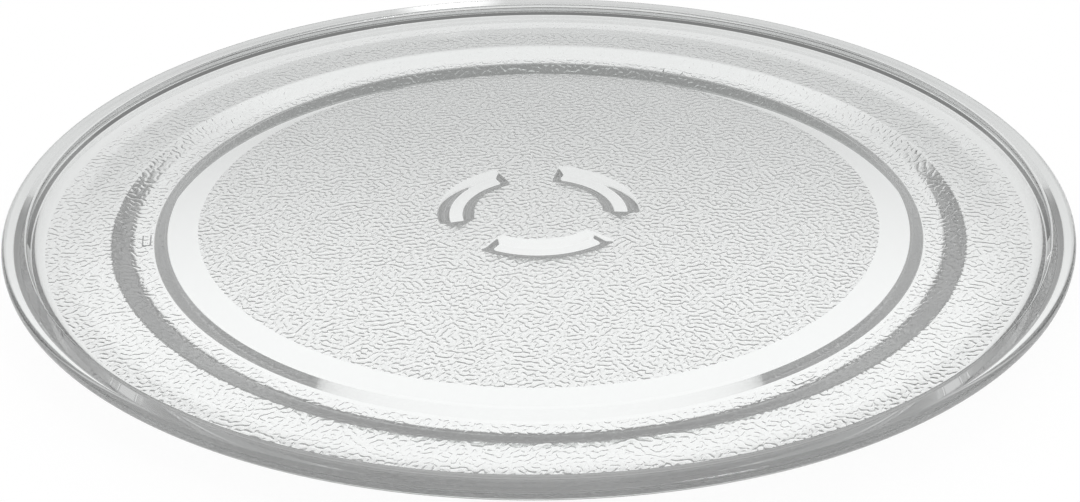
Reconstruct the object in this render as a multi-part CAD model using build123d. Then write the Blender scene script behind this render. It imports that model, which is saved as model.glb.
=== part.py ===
from build123d import *
import os

# Microwave turntable plate: one pressed glass dish that runs on a roller ring and is turned by a drive coupler.
# Millimetres, +Z up, plate axis on Z, z = 0 where the rest pads touch a table.

# Overall
plate_diameter = 360.0
base_thickness = 5.2

# Lip round the edge
lip_width = 8.0
lip_thickness = 4.2
lip_height = 4.2
lip_face_run = 1.3
lip_edge_radius = 2.05
lip_edge_chamfer = 1.2

# Heel under the lip, where the flange turns up into it
heel_outer_run = 4.1
heel_inner_run = 3.0
heel_height = 4.9

# Flange between the foot ridge and the lip: flat, then rising
flange_thickness = 5.6
flange_flat_width = 14.0
flange_rise_run = 11.7
flange_rise = 0.7
flange_bend_radius = 30.0

# Foot ridge under the plate, which keeps the rollers in
ridge_depth = 7.2
ridge_outer_run = 7.5
ridge_foot_width = 7.2
ridge_inner_run = 3.4
ridge_foot_radius = 6.5

# Three drive lugs under the centre
lug_count = 3
lug_circle_radius = 28.4
lug_root_width = 13.0
lug_flat_width = 4.9
lug_height = 4.0
lug_root_angle = 82.0
lug_flat_angle = 74.0
lug_root_corner = 3.0
lug_flat_corner = 1.0
lug_first_angle = 36.5

# Three rest pads on the foot ridge
pad_count = 3
pad_length = 8.0
pad_width = 3.0
pad_height = 0.6
pad_corner = 1.0
pad_inset = 3.1
pad_first_angle = 66.5

# Levels
ridge_foot_z = pad_height
base_under_z = ridge_foot_z + ridge_depth
base_top_z = base_under_z + base_thickness
flange_under_z = base_top_z - flange_thickness
lip_foot_z = base_top_z + flange_rise
lip_top_z = lip_foot_z + lip_height
lip_under_z = lip_top_z - lip_thickness
heel_z = lip_under_z - heel_height

# Radii, worked inwards from the edge
plate_radius = plate_diameter / 2
lip_inner_radius = plate_radius - lip_width
lip_base_radius = lip_inner_radius - lip_face_run
flange_flat_radius = lip_base_radius - flange_rise_run
ridge_outer_root_radius = flange_flat_radius - flange_flat_width
ridge_outer_foot_radius = ridge_outer_root_radius - ridge_outer_run
ridge_inner_foot_radius = ridge_outer_foot_radius - ridge_foot_width
track_outer_radius = ridge_inner_foot_radius - ridge_inner_run
heel_outer_radius = lip_inner_radius + heel_outer_run
heel_inner_radius = lip_inner_radius - heel_inner_run
pad_circle_radius = ridge_inner_foot_radius + pad_inset


def dish_section():
    """Half section of the plate, top first, then underneath, with its bends and its rounded edges."""
    corners = [
        (0, base_top_z),
        (flange_flat_radius, base_top_z),
        (lip_base_radius, lip_foot_z),
        (lip_inner_radius, lip_top_z),
        (plate_radius, lip_top_z),
        (plate_radius, lip_under_z),
        (heel_outer_radius, lip_under_z),
        (heel_inner_radius, heel_z),
        (flange_flat_radius, flange_under_z),
        (ridge_outer_root_radius, flange_under_z),
        (ridge_outer_foot_radius, ridge_foot_z),
        (ridge_inner_foot_radius, ridge_foot_z),
        (track_outer_radius, base_under_z),
        (0, base_under_z),
    ]
    rounded = [
        ((flange_flat_radius, base_top_z), flange_bend_radius),
        ((flange_flat_radius, flange_under_z), flange_bend_radius),
        ((plate_radius, lip_top_z), lip_edge_radius),
        ((ridge_outer_foot_radius, ridge_foot_z), ridge_foot_radius),
    ]
    section = Sketch() + make_face(Polyline(*corners, close=True))
    section = chamfer(section.vertices().sort_by_distance((plate_radius, lip_under_z))[0], lip_edge_chamfer)
    for corner, radius in rounded:
        section = fillet(section.vertices().sort_by_distance(corner)[0], radius)
    return section


def arc_pad(width, angle, corner):
    """Flat ring segment on the lug circle, centred on +X, with rounded corners."""
    inner = lug_circle_radius - width / 2
    outer = lug_circle_radius + width / 2
    sector = make_face(
        [
            CenterArc((0, 0), outer, -angle / 2, angle),
            CenterArc((0, 0), inner, -angle / 2, angle),
            PolarLine((0, 0), outer, angle / 2).trim(inner / outer, 1),
            PolarLine((0, 0), outer, -angle / 2).trim(inner / outer, 1),
        ]
    )
    return fillet(sector.vertices(), corner)


def drive_lug():
    """One arc lug that tapers from its root on the base to its flat."""
    root = Pos(0, 0, base_under_z) * arc_pad(lug_root_width, lug_root_angle, lug_root_corner)
    flat = Pos(0, 0, base_under_z - lug_height) * arc_pad(lug_flat_width, lug_flat_angle, lug_flat_corner)
    return loft([root, flat], ruled=True)


def rest_pad():
    """One low pad on the flat of the foot ridge, longest along the ridge."""
    return Pos(pad_circle_radius, 0, 0) * extrude(RectangleRounded(pad_width, pad_length, pad_corner), pad_height)


dish = revolve(Plane.XZ * dish_section(), Axis.Z)
lugs = PolarLocations(0, lug_count, lug_first_angle) * drive_lug()
pads = PolarLocations(0, pad_count, pad_first_angle) * rest_pad()
plate = dish + lugs + pads
plate.label = "turntable_plate"

os.makedirs("parts", exist_ok=True)
export_step(plate, "parts/turntable_plate.step")
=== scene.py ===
import math

import bpy
import numpy as np
from mathutils import Matrix, Vector


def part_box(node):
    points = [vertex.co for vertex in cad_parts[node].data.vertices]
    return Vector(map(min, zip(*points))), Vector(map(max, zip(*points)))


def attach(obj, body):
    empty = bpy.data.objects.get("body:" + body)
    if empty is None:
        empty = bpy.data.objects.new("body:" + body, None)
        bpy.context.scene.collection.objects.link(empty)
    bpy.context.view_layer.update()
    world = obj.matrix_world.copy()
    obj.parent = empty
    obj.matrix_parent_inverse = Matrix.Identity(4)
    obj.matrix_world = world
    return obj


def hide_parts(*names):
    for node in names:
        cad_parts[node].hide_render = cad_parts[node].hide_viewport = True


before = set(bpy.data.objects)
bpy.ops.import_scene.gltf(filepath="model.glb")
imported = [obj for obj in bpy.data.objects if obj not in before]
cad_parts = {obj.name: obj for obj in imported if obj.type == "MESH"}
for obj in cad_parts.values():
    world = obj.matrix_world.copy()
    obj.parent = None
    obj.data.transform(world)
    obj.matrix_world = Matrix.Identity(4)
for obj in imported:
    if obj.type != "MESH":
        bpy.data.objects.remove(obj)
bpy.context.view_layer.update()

bl_info = {
    "name": "Glass turntable plate",
    "version": (1, 0, 0),
    "blender": (4, 5, 0),
    "location": "3D View > Sidebar > Plate",
    "description": "Builds a pressed glass microwave turntable plate and a plain studio round it",
    "category": "Add Mesh",
}

MM = 0.001
PLATE_NODE = "turntable_plate"
PLATE_PIECE = "pressed_glass_plate"

PLATE_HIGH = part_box(PLATE_NODE)[1]
PLATE_RADIUS = PLATE_HIGH.x
PLATE_TOP = PLATE_HIGH.z

# Numbers of the glass's finishes among the plate's materials.
SMOOTH, BASE_STIPPLE, FLANGE_STIPPLE, SATIN_WALL = 0, 1, 2, 3

# Roughness of fire-polished glass.
POLISHED = 0.0

# Waves of the stipple in one cell of the noise that it comes from.
WAVES_PER_CELL = 2.0

# Largest turn from one row of a rounding to the next.
ARC_STEP = math.radians(9.0)

# Rows across the lugs, and how far they reach from the lug circle, in widths of a lug's root.
LUG_ROWS = 32
LUG_ROWS_REACH = 0.56

# Close columns at a pad's ends and close rows at its sides, in wall widths inwards from its edge.
PAD_COLUMNS = np.linspace(-0.3, 3.0, 8)
PAD_ROWS = np.linspace(-0.3, 2.4, 6)

# Radii of plain rows under the base and on the top.
UNDER_ROWS = np.array([6.0, 13.0, 60.0, 90.0]) * MM
TOP_ROWS = np.array([40.0, 80.0, 120.0]) * MM

# Softness of a lug's and a pad's corners, and of the edges of their walls, in shares of a wall.
LUG_CORNER, LUG_EDGE = 0.6, 0.06
PAD_CORNER, PAD_EDGE = 2.0, 0.2

# Step to each side over which the slope of lugs and pads is taken.
SLOPE_STEP = 0.01 * MM

# The base is stippled where lugs and pads stand out by less than this share of a lug's height.
PLAIN_SHARE = 0.02

# Decimal places to which two angles in radians or two radii in metres count as the same.
PLACES = 7

# Where the floor's painted bright ring and the sky's pale band begin to fade, in shares of their half widths.
RING_CORE = 0.5
BAND_CORE = 0.5

# Where the painted bright ring begins and where it is full, in shares of the distance at which the painted
# shade is full.
RING_BEGINS, RING_FULL = 0.4, 0.9

FLOOR_COLUMNS = 128

# Bounces that light may take on its way through the plate.
LIGHT_BOUNCES = 24
GLOSSY_BOUNCES = 16

# The photograph's width in pixels, which turns its focal length into the lens.
IMAGE_WIDTH = 1080
SENSOR_WIDTH = 36.0
CLIP_START = 10 * MM
CLIP_END = 20000 * MM


def length(name, description, millimetres):
    """A length property in Blender's unit, with its default given in millimetres."""
    return bpy.props.FloatProperty(
        name=name, description=description, default=millimetres * MM, min=0.0, unit="LENGTH", precision=5)


def angle(name, description, degrees):
    """An angle property with its default given in degrees."""
    return bpy.props.FloatProperty(
        name=name, description=description, default=math.radians(degrees), unit="ROTATION")


def level(name, description, value):
    """A plain number property, such as a strength or a share."""
    return bpy.props.FloatProperty(name=name, description=description, default=value, min=0.0)


def number(name, description, value, least):
    """A whole number property."""
    return bpy.props.IntProperty(name=name, description=description, default=value, min=least)


def colour(name, description, value):
    """A colour property with its alpha."""
    return bpy.props.FloatVectorProperty(
        name=name, description=description, default=value, min=0.0, max=1.0, subtype="COLOR", size=4)


class PlateForm(bpy.types.PropertyGroup):
    """Sizes of the plate's section, its lugs and its pads."""

    base_thickness: length("Base thickness", "Glass thickness of the flat base", 5.2)

    lip_width: length("Lip width", "Width of the raised lip's top", 8.0)
    lip_thickness: length("Lip thickness", "Height of the lip's outer edge", 4.2)
    lip_height: length("Lip height", "Height of the lip's inner face", 4.2)
    lip_face_run: length("Lip face run", "How far the lip's inner face leans outwards", 1.3)
    lip_edge_radius: length("Lip edge radius", "Rounding of the lip's upper and lower outer edges", 2.05)
    lip_corner_radius: length("Lip corner radius", "Rounding of the lip's inner top edge", 0.8)
    lip_foot_radius: length("Lip foot radius", "Rounding where the lip meets the flange", 0.5)

    heel_outer_run: length("Heel outer run", "Where the heel ends, outwards from the lip's inner edge", 4.1)
    heel_inner_run: length("Heel inner run", "Where the heel begins, inwards from the lip's inner edge", 3.0)
    heel_height: length("Heel height", "Height of the sloping heel under the lip", 4.9)
    heel_root_radius: length("Heel root radius", "Rounding where the heel meets the lip's underside", 1.5)
    heel_radius: length("Heel radius", "Rounding where the flange turns up into the heel", 10.0)

    flange_thickness: length("Flange thickness", "Glass thickness of the flange", 5.6)
    flange_flat_width: length("Flange flat width", "Width of the flat part of the flange", 14.0)
    flange_rise_run: length("Flange rise run", "Width of the rising part of the flange", 11.7)
    flange_rise: length("Flange rise", "Rise of the flange up to the lip", 0.7)
    flange_bend_radius: length("Flange bend radius", "Bend where the flange begins to rise", 30.0)

    ridge_depth: length("Ridge depth", "Depth of the foot ridge under the base", 7.2)
    ridge_outer_run: length("Ridge outer run", "Slope of the ridge's outer side, as a width", 7.5)
    ridge_foot_width: length("Ridge foot width", "Width between the ridge's two foot corners", 7.2)
    ridge_inner_run: length("Ridge inner run", "Slope of the ridge's inner side, as a width", 3.4)
    ridge_outer_root_radius: length(
        "Ridge outer root radius", "Rounding where the ridge meets the flange", 2.0)
    ridge_outer_foot_radius: length(
        "Ridge outer foot radius", "Rounding of the ridge's outer foot edge", 6.0)
    ridge_inner_foot_radius: length(
        "Ridge inner foot radius", "Rounding of the ridge's inner foot edge", 1.6)
    ridge_inner_root_radius: length(
        "Ridge inner root radius", "Rounding where the ridge meets the track", 1.6)

    lug_count: number("Lugs", "Number of drive lugs", 3, 1)
    lug_circle_radius: length("Lug circle radius", "Radius of the circle that the lugs lie on", 28.4)
    lug_root_width: length("Lug root width", "Width of a lug where it leaves the base", 13.0)
    lug_flat_width: length("Lug flat width", "Width of a lug's flat", 4.9)
    lug_height: length("Lug height", "How far a lug stands out under the base", 4.0)
    lug_root_angle: angle("Lug root angle", "Angle that a lug takes up at its root", 82.0)
    lug_flat_angle: angle("Lug flat angle", "Angle that a lug takes up at its flat", 74.0)
    lug_root_slope: angle("Lug root slope", "Slope of a lug's wall where it leaves the base", 22.0)
    lug_flat_slope: angle("Lug flat slope", "Slope of a lug's wall at its flat", 65.0)
    lug_first_angle: angle("First lug", "Direction of the first lug's middle", 36.5)

    pad_count: number("Pads", "Number of rest pads", 3, 1)
    pad_length: length("Pad length", "Length of a rest pad along the ridge", 8.0)
    pad_width: length("Pad width", "Width of a rest pad across the ridge", 3.0)
    pad_height: length("Pad height", "How far a rest pad stands out under the ridge", 0.6)
    pad_wall: length("Pad wall", "Width of a rest pad's sloping wall", 0.4)
    pad_inset: length("Pad inset", "From the ridge's inner foot corner to the middle of a pad", 3.1)
    pad_first_angle: angle("First pad", "Direction of the first rest pad", 66.5)

    track_width: length("Track width", "Width of the smooth roller track inside the ridge", 10.9)
    stipple_start: length(
        "Stipple start", "Where the stipple begins, outwards from the ridge's inner foot corner", 1.0)
    stipple_edge: length(
        "Stipple edge", "Where the stipple ends under the lip, inwards from the edge", 13.5)
    columns: number("Columns", "Even steps of the mesh round the plate", 600, 24)


class GlassFinish(bpy.types.PropertyGroup):
    """Looks of the glass and of the stipple pressed into its underside."""

    tint: colour("Tint", "Colour that the glass gives to light", (0.985, 1.0, 0.994, 1.0))
    ior: level("Index of refraction", "How strongly the glass bends light", 1.52)
    wall_roughness: level("Wall roughness", "Fine roughness of the foot ridge's inner wall", 0.05)
    stipple_narrowing: level(
        "Stipple narrowing", "Power that makes a worm narrower than the flat beside it", 3.0)
    base_pitch: length("Base pitch", "Distance from one worm of the base's stipple to the next", 2.5)
    base_stipple: length("Base stipple", "Height of the stipple under the base", 0.145)
    flange_pitch: length("Flange pitch", "Distance from one worm of the flange's stipple to the next", 2.65)
    flange_stipple: length("Flange stipple", "Height of the stipple under the flange and the ridge", 0.09)
    base_roughness: level("Base roughness", "Fine roughness of the stippled base", 0.26)
    flange_roughness: level("Flange roughness", "Fine roughness of the stippled flange and ridge", 0.16)


class StudioStage(bpy.types.PropertyGroup):
    """Floor with its painted shade, light and camera."""

    floor_radius: length("Floor radius", "Radius of the round floor", 3000.0)
    floor_gap: length("Floor gap", "Hair's breadth between the pads and the floor", 0.02)
    floor_color: colour("Floor", "Colour of the floor", (0.96, 0.96, 0.96, 1.0))
    floor_glow: level(
        "Floor glow", "Share of the floor's white that doesn't depend on the light on it", 0.93)

    sky_low: level("Low sky", "Brightness of the surroundings near the floor", 0.25)
    sky_high: level("High sky", "Brightness of the soft light overhead", 1.45)
    low_elevation: angle("Low elevation", "Below this elevation the surroundings are dim", 23.0)
    high_elevation: angle("High elevation", "Above this elevation the overhead light is full", 29.5)

    # The shade and its bright ring below are painted into the floor's glow; the plate does not cast them.
    shade_level: level(
        "Shade level", "Brightness of the shaded floor under the back of the plate", 0.805)
    shade_lead: length(
        "Shade lead", "How much further forward the shade reaches under the plate's edge", 90.0)
    shade_deepening: level(
        "Shade deepening", "How many times deeper the shade is under the plate's edge", 1.2)
    shade_front: length(
        "Shade front", "Distance in front of the axis at which the shade begins", 90.0)
    shade_back: length(
        "Shade back", "Distance behind the axis at which the shade is full", 120.0)
    ring_radius: length(
        "Ring radius", "Radius of the bright ring in the shade, where the foot ridge stands", 141.0)
    ring_width: length("Ring width", "Half width of that ring", 12.0)

    lamp_level: level("Lamp level", "Brightness of the soft lamp that lights the rim's edges", 9.0)
    lamp_azimuth: angle("Lamp azimuth", "Direction of that lamp round the plate's axis", -45.0)
    lamp_elevation: angle("Lamp elevation", "Elevation of that lamp", 50.0)
    lamp_width: angle("Lamp width", "Half angle that it takes up in the sky", 9.0)
    glint_level: level(
        "Glint level", "Brightness of the low lamp behind that glints on the far rim", 5.0)
    glint_azimuth: angle("Glint azimuth", "Direction of that lamp round the plate's axis", 92.5)
    glint_elevation: angle("Glint elevation", "Elevation of that lamp", 20.8)
    glint_width: angle("Glint width", "Half angle that it takes up in the sky", 1.8)

    # The floor's inner front and back levels are painted shade in its glow; the inner sky and band below are
    # light from the surroundings.
    inner_front: level(
        "Inner front", "Brightness of the floor's front for light that bounced inside the glass", 0.38)
    inner_back: level(
        "Inner back", "Brightness of the floor's back for light that bounced inside the glass", 0.66)
    inner_sky: level(
        "Inner sky", "Brightness of the surroundings for light that bounced inside the glass", 0.31)
    inner_band: level(
        "Inner band", "Brightness of a paler band in them, which lightens the back of the ridge", 0.68)
    band_elevation: angle("Band elevation", "Elevation of that band", 30.0)
    band_width: angle("Band width", "Angle whose sine is half the band's width in sines of elevation", 9.0)

    camera_distance: length("Camera distance", "From the camera to the plate's middle", 750.0)
    camera_elevation: angle("Camera elevation", "Elevation of the camera above the plate", 27.03)
    camera_height: length(
        "Camera aim height", "Height on the plate's axis that the distance is taken from", 11.08)
    camera_dip: angle("Camera dip", "How far the camera looks down", 28.12)
    camera_yaw: angle("Camera yaw", "Small turn of the camera to the side", -0.03)
    camera_roll: angle("Camera roll", "Small turn of the camera about its own line of sight", -0.46)
    focal_pixels: level("Focal length", "Focal length in pixels of the photograph", 2182.0)


def plate_levels(form):
    """Heights of the section's corners, worked down from the lip's top."""
    lip_foot = PLATE_TOP - form.lip_height
    lip_under = PLATE_TOP - form.lip_thickness
    base_top = lip_foot - form.flange_rise
    base_under = base_top - form.base_thickness
    return {
        "lip_top": PLATE_TOP,
        "lip_foot": lip_foot,
        "lip_under": lip_under,
        "heel": lip_under - form.heel_height,
        "base_top": base_top,
        "base_under": base_under,
        "flange_under": base_top - form.flange_thickness,
        "ridge_foot": base_under - form.ridge_depth,
    }


def plate_radii(form):
    """Radii of the section's corners and of the finishes' edges, worked inwards from the edge."""
    lip_inner = PLATE_RADIUS - form.lip_width
    lip_base = lip_inner - form.lip_face_run
    flange_flat = lip_base - form.flange_rise_run
    ridge_outer_root = flange_flat - form.flange_flat_width
    ridge_outer_foot = ridge_outer_root - form.ridge_outer_run
    ridge_inner_foot = ridge_outer_foot - form.ridge_foot_width
    track_outer = ridge_inner_foot - form.ridge_inner_run
    return {
        "edge": PLATE_RADIUS,
        "lip_inner": lip_inner,
        "lip_base": lip_base,
        "flange_flat": flange_flat,
        "heel_outer": lip_inner + form.heel_outer_run,
        "heel_inner": lip_inner - form.heel_inner_run,
        "ridge_outer_root": ridge_outer_root,
        "ridge_outer_foot": ridge_outer_foot,
        "ridge_inner_foot": ridge_inner_foot,
        "track_outer": track_outer,
        "track_inner": track_outer - form.track_width,
        "wall_start": track_outer - form.ridge_inner_root_radius,
        "stipple_start": ridge_inner_foot + form.stipple_start,
        "stipple_edge": PLATE_RADIUS - form.stipple_edge,
        "pads": ridge_inner_foot + form.pad_inset,
    }


def section_corners(form, r, z):
    """Corners of the half section as (radius, height, rounding).

    The top comes first, from the axis outwards, and then the underside, back to the axis.
    """
    return [
        (0.0, z["base_top"], 0.0),
        (r["flange_flat"], z["base_top"], form.flange_bend_radius),
        (r["lip_base"], z["lip_foot"], form.lip_foot_radius),
        (r["lip_inner"], z["lip_top"], form.lip_corner_radius),
        (r["edge"], z["lip_top"], form.lip_edge_radius),
        (r["edge"], z["lip_under"], form.lip_edge_radius),
        (r["heel_outer"], z["lip_under"], form.heel_root_radius),
        (r["heel_inner"], z["heel"], form.heel_radius),
        (r["flange_flat"], z["flange_under"], form.flange_bend_radius),
        (r["ridge_outer_root"], z["flange_under"], form.ridge_outer_root_radius),
        (r["ridge_outer_foot"], z["ridge_foot"], form.ridge_outer_foot_radius),
        (r["ridge_inner_foot"], z["ridge_foot"], form.ridge_inner_foot_radius),
        (r["track_outer"], z["base_under"], form.ridge_inner_root_radius),
        (0.0, z["base_under"], 0.0),
    ]


def rounded_section(corners):
    """Points of the section and the direction of travel at each, with every corner turned into an arc.

    An arc of radius q that turns the travel from direction a to direction b starts q tan(|b - a| / 2) before
    the corner. At direction d its point is the start plus s q (sin d - sin a, cos a - cos d), with s the sign
    of the turn.
    """
    corners = np.array(corners)
    runs = np.diff(corners[:, :2], axis=0)
    travel = np.unwrap(np.arctan2(runs[:, 1], runs[:, 0]))
    points = [corners[:1, :2]]
    directions = [travel[:1]]
    for (radius, height, rounding), a, b in zip(corners[1:-1], travel[:-1], travel[1:]):
        turn = b - a
        d = np.linspace(a, b, int(np.ceil(abs(turn) / ARC_STEP)) + 2)
        before = rounding * np.tan(abs(turn) / 2) * np.array([np.cos(a), np.sin(a)])
        arc = np.sign(turn) * rounding * np.stack([np.sin(d) - np.sin(a), np.cos(a) - np.cos(d)], axis=1)
        points.append(np.array([radius, height]) - before + arc)
        directions.append(d)
    points.append(corners[-1:, :2])
    directions.append(travel[-1:])
    return np.concatenate(points), np.concatenate(directions)


def with_rings(points, directions, radii):
    """The underside's rows with a row added at each given radius, from the edge inwards.

    The section never turns back outwards underneath, so a new row's height and direction are interpolated
    by radius.
    """
    inward = points[::-1]
    heights = np.interp(radii, inward[:, 0], inward[:, 1])
    slopes = np.interp(radii, inward[:, 0], directions[::-1])
    rows = np.concatenate([points, np.stack([radii, heights], axis=1)])
    slopes = np.concatenate([directions, slopes])
    order = np.argsort(-rows[:, 0], kind="stable")
    return rows[order], slopes[order]


def soft_ramp(t, blend):
    """0 below 0, t between, 1 above 1, with both bends made parabolas of half width blend."""
    low = np.clip(t + blend, 0.0, 2 * blend) ** 2 / (4 * blend)
    rise = low + np.clip(t - blend, 0.0, None)
    high = np.clip(t - 1.0 + blend, 0.0, 2 * blend) ** 2 / (4 * blend)
    return rise - high - np.clip(t - 1.0 - blend, 0.0, None)


def soft_least(a, b, width):
    """The lesser of a and b, rounded where they differ by less than width.

    There it is lowered by (width - |a - b|)^2 / (4 width).
    """
    overlap = np.clip(width - np.abs(a - b), 0.0, None)
    return np.minimum(a, b) - overlap ** 2 / (4 * width)


def turned(x, y, count, first):
    """Angle from the nearest of count equally spaced directions, and the radius, of each point."""
    sector = 2 * np.pi / count
    around = (np.arctan2(y, x) - first + sector / 2) % sector - sector / 2
    return around, np.hypot(x, y)


def lug_relief(form, x, y):
    """Height of the drive lugs below the base at each point.

    Across, a point's share of the wall goes from 0 at the root's edge to 1 at the flat's edge, and along its
    length it does the same by angle. The lesser of the two shares, softened at the corners, goes up a hollow
    wall: a circular arc whose slope grows from the root's angle to the flat's.
    """
    around, radius = turned(x, y, form.lug_count, form.lug_first_angle)
    across = (form.lug_root_width / 2 - np.abs(radius - form.lug_circle_radius)) * 2
    across = across / (form.lug_root_width - form.lug_flat_width)
    along = (form.lug_root_angle / 2 - np.abs(around)) * 2 / (form.lug_root_angle - form.lug_flat_angle)
    share = soft_ramp(soft_least(across, along, LUG_CORNER), LUG_EDGE)
    low, high = math.sin(form.lug_root_slope), math.sin(form.lug_flat_slope)
    climb = math.cos(form.lug_root_slope) - np.sqrt(1.0 - (low + share * (high - low)) ** 2)
    return form.lug_height * climb / (math.cos(form.lug_root_slope) - math.cos(form.lug_flat_slope))


def pad_relief(form, centre, x, y):
    """Height of the rest pads below the ridge at each point: low blocks with sloping walls.

    A point's share of the wall goes from 0 at the pad's edge to 1 one wall width inside it, across and along.
    The lesser of the two shares, softened at the corners, times the pad's height is the height there.
    """
    around, radius = turned(x, y, form.pad_count, form.pad_first_angle)
    across = (form.pad_width / 2 - np.abs(radius - centre)) / form.pad_wall
    along = (form.pad_length / 2 - np.abs(around) * centre) / form.pad_wall
    return form.pad_height * soft_ramp(soft_least(across, along, PAD_CORNER), PAD_EDGE)


def relief(form, r, x, y):
    """Height of lugs and pads together below the plain underside."""
    return lug_relief(form, x, y) + pad_relief(form, r["pads"], x, y)


def plate_columns(form, r):
    """Angles of the mesh's columns: even steps round the plate, and close ones at the ends of each pad."""
    even = np.linspace(0.0, 2 * np.pi, form.columns, endpoint=False)
    middles = form.pad_first_angle + 2 * np.pi / form.pad_count * np.arange(form.pad_count)
    ends = (form.pad_length / 2 - form.pad_wall * PAD_COLUMNS) / r["pads"]
    close = middles[:, None] + np.concatenate([-ends, ends])[None, :]
    return np.unique(np.round(np.concatenate([even, close.ravel() % (2 * np.pi)]), PLACES))


def plate_rows(form, r, z):
    """Rows of the section, the direction of travel at each, and the number of the first row underneath.

    Rows are added on the top, for the lugs and the pads, and at the edges of the stipple.
    """
    points, directions = rounded_section(section_corners(form, r, z))
    turn = int(np.argmax(np.round(points[:, 0], PLACES) >= round(PLATE_RADIUS, PLACES)))
    lug_reach = form.lug_root_width * LUG_ROWS_REACH
    lugs = np.linspace(form.lug_circle_radius - lug_reach, form.lug_circle_radius + lug_reach, LUG_ROWS)
    wall = form.pad_width / 2 - form.pad_wall * PAD_ROWS
    pads = np.concatenate([r["pads"] - wall, r["pads"] + wall])
    edges = [r["track_inner"], r["stipple_start"], r["stipple_edge"]]
    added = np.concatenate([UNDER_ROWS, lugs, pads, edges])
    under, under_directions = with_rings(points[turn:], directions[turn:], added)
    top = np.stack([TOP_ROWS, np.full(len(TOP_ROWS), z["base_top"])], axis=1)
    rows = np.concatenate([points[:1], top, points[1:turn], under])
    slopes = np.concatenate([directions[:1], np.zeros(len(top)), directions[1:turn], under_directions])
    return rows, slopes, len(top) + turn


def plate_faces(count_rows, count):
    """Faces on a grid of count_rows rows of count vertices, and on the two poles that follow it.

    They are quads from row to row, a fan from the first pole to the first row and one from the second pole to
    the last row. The last column joins the first.
    """
    this = np.arange(count)
    following = np.roll(this, -1)
    row = np.arange(count_rows - 1)[:, None] * count
    quads = np.stack([row + this, row + count + this, row + count + following, row + following], axis=-1)
    first_pole = np.full(count, count_rows * count)
    last = (count_rows - 1) * count
    top_fan = np.stack([first_pole, this, following], axis=-1)
    bottom_fan = np.stack([last + this, first_pole + 1, last + following], axis=-1)
    return quads.reshape(-1, 4), top_fan, bottom_fan


def plate_finishes(form, r, radii, under, standing):
    """The number of the finish of each face, in the order of plate_faces.

    A face underneath gets its finish by the middle radius of its two rows: stippled base, smooth track, satin
    inner wall of the ridge, stippled ridge and flange, smooth lip. The lugs and the whole top are smooth.
    """
    middle = (radii[:-1] + radii[1:]) / 2
    base = (middle < r["track_inner"]) & under[1:]
    wall = (middle > r["wall_start"]) & (middle < r["stipple_start"]) & under[1:]
    flange = (middle > r["stipple_start"]) & (middle < r["stipple_edge"]) & under[1:]
    bands = np.select([wall, flange], [SATIN_WALL, FLANGE_STIPPLE], SMOOTH)
    plain = np.maximum(standing[:-1], standing[1:]) < PLAIN_SHARE * form.lug_height
    quads = np.where(base[:, None] & plain, BASE_STIPPLE, bands[:, None])
    fans = np.repeat([SMOOTH, BASE_STIPPLE], standing.shape[1])
    return np.concatenate([quads.ravel(), fans])


def plate_surface(form):
    """Vertices, normals and faces of the plate, and the number of each face's finish.

    The section is carried round the axis: a row of radius q and height h becomes q cos a, q sin a, h.
    Underneath, the relief of lugs and pads is taken off the height, and the normal follows the relief's slope,
    from differences over a small step. The first and last rows shrink to one point on the axis.
    """
    r, z = plate_radii(form), plate_levels(form)
    rows, slopes, first_under = plate_rows(form, r, z)
    columns = plate_columns(form, r)
    radii = rows[1:-1, 0]
    x = radii[:, None] * np.cos(columns)
    y = radii[:, None] * np.sin(columns)
    height = np.repeat(rows[1:-1, 1, None], len(columns), axis=1)
    under = np.arange(1, len(rows) - 1) >= first_under
    step, shown = SLOPE_STEP, under[:, None]
    standing = relief(form, r, x, y) * shown
    slope_x = (relief(form, r, x + step, y) - relief(form, r, x - step, y)) / (2 * step) * shown
    slope_y = (relief(form, r, x, y + step) - relief(form, r, x, y - step)) / (2 * step) * shown
    outward = -np.sin(slopes[1:-1, None])
    upward = np.cos(slopes[1:-1, None]) * np.ones_like(x)
    normals = np.stack([
        outward * np.cos(columns) + slope_x * upward,
        outward * np.sin(columns) + slope_y * upward,
        upward], axis=-1).reshape(-1, 3)
    grid = np.stack([x, y, height - standing], axis=-1).reshape(-1, 3)
    poles = np.array([[0.0, 0.0, rows[0, 1]], [0.0, 0.0, rows[-1, 1]]])
    vertices = np.concatenate([grid, poles])
    normals = np.concatenate([normals, [[0.0, 0.0, 1.0], [0.0, 0.0, -1.0]]])
    normals /= np.linalg.norm(normals, axis=1, keepdims=True)
    return vertices, normals, plate_faces(*x.shape), plate_finishes(form, r, radii, under, standing)


def surface_mesh(name, vertices, normals, face_groups):
    """A smooth mesh from vertices, their normals and groups of faces, each with one number of corners."""
    mesh = bpy.data.meshes.new(name)
    loops = np.concatenate([group.ravel() for group in face_groups])
    sizes = np.concatenate([np.full(len(group), group.shape[1]) for group in face_groups])
    mesh.vertices.add(len(vertices))
    mesh.vertices.foreach_set("co", vertices.astype(np.float32).ravel())
    mesh.loops.add(len(loops))
    mesh.loops.foreach_set("vertex_index", loops.astype(np.int32))
    mesh.polygons.add(len(sizes))
    mesh.polygons.foreach_set("loop_start", (np.cumsum(sizes) - sizes).astype(np.int32))
    mesh.polygons.foreach_set("use_smooth", np.ones(len(sizes), dtype=bool))
    mesh.update(calc_edges=True)
    mesh.validate()
    mesh.normals_split_custom_set_from_vertices(normals.astype(np.float32))
    return mesh


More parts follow.
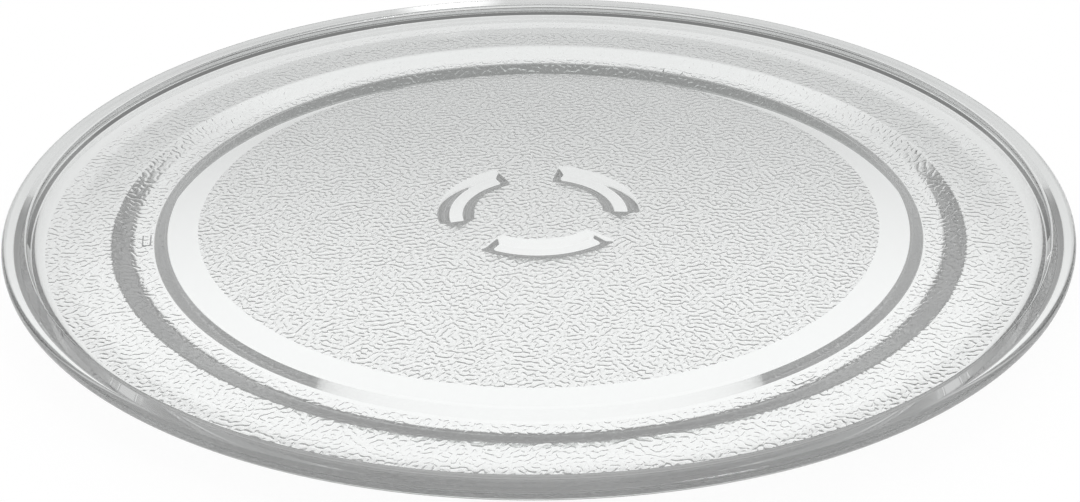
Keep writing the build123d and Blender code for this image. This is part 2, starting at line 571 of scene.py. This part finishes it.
class Nodes:
    """A cleared node tree, with short ways to add to it."""

    def __init__(self, tree):
        self.tree = tree
        tree.nodes.clear()

    def add(self, kind, inputs=None, **settings):
        """A new node with its settings, each of its inputs given a value or joined to a socket."""
        node = self.tree.nodes.new(kind)
        for key, value in settings.items():
            setattr(node, key, value)
        for key, value in (inputs or {}).items():
            if isinstance(value, bpy.types.NodeSocket):
                self.tree.links.new(value, node.inputs[key])
            else:
                node.inputs[key].default_value = value
        return node

    def math(self, operation, *inputs, clamp=False):
        """What a Math node makes of its inputs."""
        node = self.add("ShaderNodeMath", dict(enumerate(inputs)), operation=operation, use_clamp=clamp)
        return node.outputs["Value"]

    def ramp(self, value, start, end, low, high, shape="SMOOTHSTEP"):
        """A level that is low up to the value start and high from the value end on."""
        node = self.add("ShaderNodeMapRange", {
            "Value": value, "From Min": start, "From Max": end, "To Min": low, "To Max": high},
            interpolation_type=shape)
        return node.outputs["Result"]

    def choice(self, factor, first, second):
        """The first level where the factor is 0, and the second where it is 1."""
        node = self.add("ShaderNodeMix", {"Factor": factor, "A": first, "B": second}, data_type="FLOAT")
        return node.outputs["Result"]


def new_material(name):
    """An empty node material and its nodes."""
    material = bpy.data.materials.new(name)
    material.use_nodes = True
    return material, Nodes(material.node_tree)


def glass_shader(nodes, finish, roughness, **more):
    """The plate's clear glass, with any more inputs of its shader, as the surface of a material."""
    glass = nodes.add("ShaderNodeBsdfPrincipled", {
        "Base Color": finish.tint, "IOR": finish.ior, "Roughness": roughness,
        "Transmission Weight": 1.0, **more})
    nodes.add("ShaderNodeOutputMaterial", {"Surface": glass.outputs["BSDF"]})


def plain_glass(name, finish, roughness):
    """Clear glass with an even surface, fire-polished or finely matt."""
    material, nodes = new_material(name)
    glass_shader(nodes, finish, roughness)
    return material


def stippled_glass(name, finish, pitch, height, roughness):
    """Clear glass whose surface has a labyrinth of low worms pressed into it.

    The surface stands out by height * (0.5 + 0.5 cos p) ^ n. There p is the phase of a wave noise that runs
    in all directions, with waves one pitch long, and the power n narrows the worms.
    """
    material, nodes = new_material(name)
    place = nodes.add("ShaderNodeTexCoord").outputs["Object"]
    noise = nodes.add("ShaderNodeTexGabor", {
        "Vector": place, "Scale": 1.0 / (WAVES_PER_CELL * pitch), "Frequency": WAVES_PER_CELL,
        "Anisotropy": 0.0}, gabor_type="2D")
    phase = nodes.math("MULTIPLY", noise.outputs["Phase"], 2 * math.pi)
    wave = nodes.math("MULTIPLY_ADD", nodes.math("COSINE", phase), 0.5, 0.5)
    worms = nodes.math("POWER", wave, finish.stipple_narrowing)
    bump = nodes.add("ShaderNodeBump", {"Height": worms, "Strength": 1.0, "Distance": height})
    glass_shader(nodes, finish, roughness, Normal=bump.outputs["Normal"])
    return material


def inside_bounce(nodes):
    """The light path, and a socket that is 1 for light that bounced inside the glass.

    Such light was both refracted and reflected, so the product of the two depths is 1 or more.
    """
    path = nodes.add("ShaderNodeLightPath")
    depths = path.outputs["Glossy Depth"], path.outputs["Transmission Depth"]
    return path, nodes.math("MULTIPLY", *depths, clamp=True)


def painted_shade_floor(stage):
    """Pale floor: white to the camera and to glass, and still dimmed a little by the shadow on it.

    Seen through the plate, its glow carries a painted shade and a painted bright ring: its white is 1 + s d.
    The share s of the painted shade goes from 0 at the shade's front to 1 at its back. From the ring of the
    foot ridge out to the plate's edge it is led forward and made deeper, more and more. The depth d is the
    shade's level less 1, and goes to 0 on a painted bright ring at the back. Light that bounced inside the
    glass meets painted shade of its own: dim levels, which change from the axis to the shade's back.
    """
    material, nodes = new_material("pale_floor_with_painted_shade")
    path, inside = inside_bounce(nodes)
    through = path.outputs["Is Transmission Ray"]
    place = nodes.add("ShaderNodeTexCoord").outputs["Object"]
    y = nodes.add("ShaderNodeSeparateXYZ", {"Vector": place}).outputs["Y"]
    reach = nodes.add("ShaderNodeVectorMath", {0: place}, operation="LENGTH").outputs["Value"]

    # Painted shade in the floor's glow, seen through the plate: deeper towards the back and under the plate's
    # edge.
    outside = stage.ring_radius, PLATE_RADIUS
    lead = nodes.ramp(reach, *outside, 0.0, stage.shade_lead, "LINEAR")
    deeper = nodes.ramp(reach, *outside, 1.0, stage.shade_deepening, "LINEAR")
    away = nodes.ramp(nodes.math("ADD", y, lead), -stage.shade_front, stage.shade_back, 0.0, 1.0)
    share = nodes.math("MULTIPLY", nodes.math("MULTIPLY", away, deeper), through)

    # Painted bright ring in that shade, at the back where the foot ridge stands.
    off_ring = nodes.math("ABSOLUTE", nodes.math("SUBTRACT", reach, stage.ring_radius))
    ring = nodes.ramp(off_ring, RING_CORE * stage.ring_width, stage.ring_width, 1.0, 0.0)
    back = nodes.ramp(y, RING_BEGINS * stage.shade_back, RING_FULL * stage.shade_back, 0.0, 1.0)
    painted_ring_light = nodes.math("MULTIPLY", ring, back)
    depth = nodes.ramp(painted_ring_light, 0.0, 1.0, stage.shade_level - 1.0, 0.0, "LINEAR")

    # The white seen through the plate, with the painted shade and the painted bright ring in it.
    white = nodes.math("MULTIPLY_ADD", share, depth, 1.0)
    # Painted shade: to light that bounced inside the glass the floor glows dim, paler towards the back.
    bounced = nodes.ramp(y, 0.0, stage.shade_back, stage.inner_front, stage.inner_back)
    glow = nodes.add("ShaderNodeEmission", {"Strength": nodes.choice(inside, white, bounced)})
    paint = nodes.add("ShaderNodeBsdfDiffuse", {"Color": stage.floor_color})
    seen = nodes.math("MAXIMUM", path.outputs["Is Camera Ray"], path.outputs["Is Glossy Ray"])
    glowing = nodes.math("MULTIPLY", nodes.math("MAXIMUM", seen, through), stage.floor_glow)
    mix = nodes.add("ShaderNodeMixShader", {
        "Fac": glowing, 1: paint.outputs["BSDF"], 2: glow.outputs["Emission"]})
    nodes.add("ShaderNodeOutputMaterial", {"Surface": mix.outputs["Shader"]})
    return material


def soft_lamp(nodes, direction, azimuth, elevation, width, strength):
    """A round soft lamp in the sky: the strength in its middle, falling to nothing at its half width."""
    reach = math.cos(elevation)
    toward = (reach * math.cos(azimuth), reach * math.sin(azimuth), math.sin(elevation))
    facing = nodes.add("ShaderNodeVectorMath", {0: direction, 1: toward}, operation="DOT_PRODUCT")
    return nodes.ramp(facing.outputs["Value"], math.cos(width), 1.0, 0.0, strength)


def studio_world(stage):
    """White to the camera; to everything else a soft light overhead that falls off towards the floor.

    Two soft lamps are added to that light. Light that bounced inside the glass meets dim surroundings, with a
    band that is paler the nearer the sine of the elevation is to that of the band's middle.
    """
    world = bpy.data.worlds.new("studio")
    world.use_nodes = True
    nodes = Nodes(world.node_tree)
    path, inside = inside_bounce(nodes)
    direction = nodes.add("ShaderNodeTexCoord").outputs["Generated"]
    z = nodes.add("ShaderNodeSeparateXYZ", {"Vector": direction}).outputs["Z"]

    low, high = math.sin(stage.low_elevation), math.sin(stage.high_elevation)
    overhead = nodes.ramp(z, low, high, stage.sky_low, stage.sky_high)
    lamp = soft_lamp(
        nodes, direction, stage.lamp_azimuth, stage.lamp_elevation, stage.lamp_width, stage.lamp_level)
    glint = soft_lamp(
        nodes, direction, stage.glint_azimuth, stage.glint_elevation, stage.glint_width, stage.glint_level)
    light = nodes.math("ADD", overhead, nodes.math("ADD", lamp, glint))

    off_band = nodes.math("ABSOLUTE", nodes.math("SUBTRACT", z, math.sin(stage.band_elevation)))
    band_reach = math.sin(stage.band_width)
    bounced = nodes.ramp(off_band, BAND_CORE * band_reach, band_reach, stage.inner_band, stage.inner_sky)

    sky = nodes.add("ShaderNodeBackground", {"Strength": nodes.choice(inside, light, bounced)})
    white = nodes.add("ShaderNodeBackground", {"Color": (1.0, 1.0, 1.0, 1.0)})
    mix = nodes.add("ShaderNodeMixShader", {
        "Fac": path.outputs["Is Camera Ray"], 1: sky.outputs["Background"], 2: white.outputs["Background"]})
    nodes.add("ShaderNodeOutputWorld", {"Surface": mix.outputs["Shader"]})
    return world


def floor_disc(radius, height):
    """A flat disc at one height: a circle of points, radius cos a and radius sin a, and one in the middle."""
    around = np.linspace(0.0, 2 * np.pi, FLOOR_COLUMNS, endpoint=False)
    heights = np.full(FLOOR_COLUMNS, height)
    circle = np.stack([radius * np.cos(around), radius * np.sin(around), heights], axis=1)
    vertices = np.concatenate([circle, [[0.0, 0.0, height]]])
    this = np.arange(FLOOR_COLUMNS)
    faces = np.stack([np.full(FLOOR_COLUMNS, FLOOR_COLUMNS), this, np.roll(this, -1)], axis=1)
    normals = np.tile([0.0, 0.0, 1.0], (FLOOR_COLUMNS + 1, 1))
    return surface_mesh("floor", vertices, normals, [faces])


def studio_camera(stage):
    """The photograph's camera, in front of the plate and above it."""
    lens = bpy.data.cameras.new("photo_camera")
    lens.sensor_fit = "HORIZONTAL"
    lens.sensor_width = SENSOR_WIDTH
    lens.lens = stage.focal_pixels * SENSOR_WIDTH / IMAGE_WIDTH
    lens.clip_start = CLIP_START
    lens.clip_end = CLIP_END
    camera = bpy.data.objects.new("photo_camera", lens)
    bpy.context.scene.collection.objects.link(camera)
    reach = stage.camera_distance * math.cos(stage.camera_elevation)
    rise = stage.camera_distance * math.sin(stage.camera_elevation) + stage.camera_height
    turn = Matrix.Rotation(math.pi / 2 - stage.camera_dip, 4, "X")
    turn = turn @ Matrix.Rotation(stage.camera_yaw, 4, "Y") @ Matrix.Rotation(stage.camera_roll, 4, "Z")
    camera.matrix_world = Matrix.Translation(Vector((0.0, -reach, rise))) @ turn
    bpy.context.scene.camera = camera


class MESH_OT_glass_turntable_plate(bpy.types.Operator):
    """Build the pressed glass plate in place of its plain solid"""

    bl_idname = "mesh.glass_turntable_plate"
    bl_label = "Glass plate"

    def execute(self, context):
        form, finish = context.scene.plate_form, context.scene.glass_finish
        vertices, normals, faces, finishes = plate_surface(form)
        mesh = surface_mesh(PLATE_PIECE, vertices, normals, faces)
        materials = {
            SMOOTH: plain_glass("smooth_glass", finish, POLISHED),
            BASE_STIPPLE: stippled_glass(
                "stippled_base", finish, finish.base_pitch, finish.base_stipple, finish.base_roughness),
            FLANGE_STIPPLE: stippled_glass(
                "stippled_flange", finish, finish.flange_pitch, finish.flange_stipple,
                finish.flange_roughness),
            SATIN_WALL: plain_glass("satin_wall", finish, finish.wall_roughness),
        }
        for place in sorted(materials):
            mesh.materials.append(materials[place])
        mesh.polygons.foreach_set("material_index", finishes.astype(np.int32))
        plate = bpy.data.objects.new(PLATE_PIECE, mesh)
        context.scene.collection.objects.link(plate)
        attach(plate, "root")
        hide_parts(PLATE_NODE)
        return {"FINISHED"}


class SCENE_OT_glass_turntable_stage(bpy.types.Operator):
    """Set up the floor, the light and the camera"""

    bl_idname = "scene.glass_turntable_stage"
    bl_label = "Studio stage"

    def execute(self, context):
        stage = context.scene.studio_stage
        mesh = floor_disc(stage.floor_radius, -stage.floor_gap)
        mesh.materials.append(painted_shade_floor(stage))
        floor = bpy.data.objects.new("floor", mesh)
        context.scene.collection.objects.link(floor)
        context.scene.world = studio_world(stage)
        studio_camera(stage)
        context.scene.view_settings.view_transform = "Standard"
        cycles = context.scene.cycles
        cycles.max_bounces = LIGHT_BOUNCES
        cycles.transmission_bounces = LIGHT_BOUNCES
        cycles.glossy_bounces = GLOSSY_BOUNCES
        return {"FINISHED"}


class VIEW3D_PT_glass_plate(bpy.types.Panel):
    """Sizes, finish and stage of the glass plate"""

    bl_label = "Glass turntable plate"
    bl_space_type = "VIEW_3D"
    bl_region_type = "UI"
    bl_category = "Plate"

    def draw(self, context):
        layout = self.layout
        scene = context.scene
        groups = (
            (MESH_OT_glass_turntable_plate, (scene.plate_form, scene.glass_finish)),
            (SCENE_OT_glass_turntable_stage, (scene.studio_stage,)))
        for operator, settings in groups:
            layout.operator(operator.bl_idname)
            for group in settings:
                for name in group.__annotations__:
                    layout.prop(group, name)


CLASSES = (
    PlateForm, GlassFinish, StudioStage,
    MESH_OT_glass_turntable_plate, SCENE_OT_glass_turntable_stage, VIEW3D_PT_glass_plate)


def register():
    for item in CLASSES:
        bpy.utils.register_class(item)
    bpy.types.Scene.plate_form = bpy.props.PointerProperty(type=PlateForm)
    bpy.types.Scene.glass_finish = bpy.props.PointerProperty(type=GlassFinish)
    bpy.types.Scene.studio_stage = bpy.props.PointerProperty(type=StudioStage)


def unregister():
    del bpy.types.Scene.studio_stage
    del bpy.types.Scene.glass_finish
    del bpy.types.Scene.plate_form
    for item in reversed(CLASSES):
        bpy.utils.unregister_class(item)


def main():
    register()
    bpy.ops.mesh.glass_turntable_plate()
    bpy.ops.scene.glass_turntable_stage()


if __name__ == "__main__":
    main()
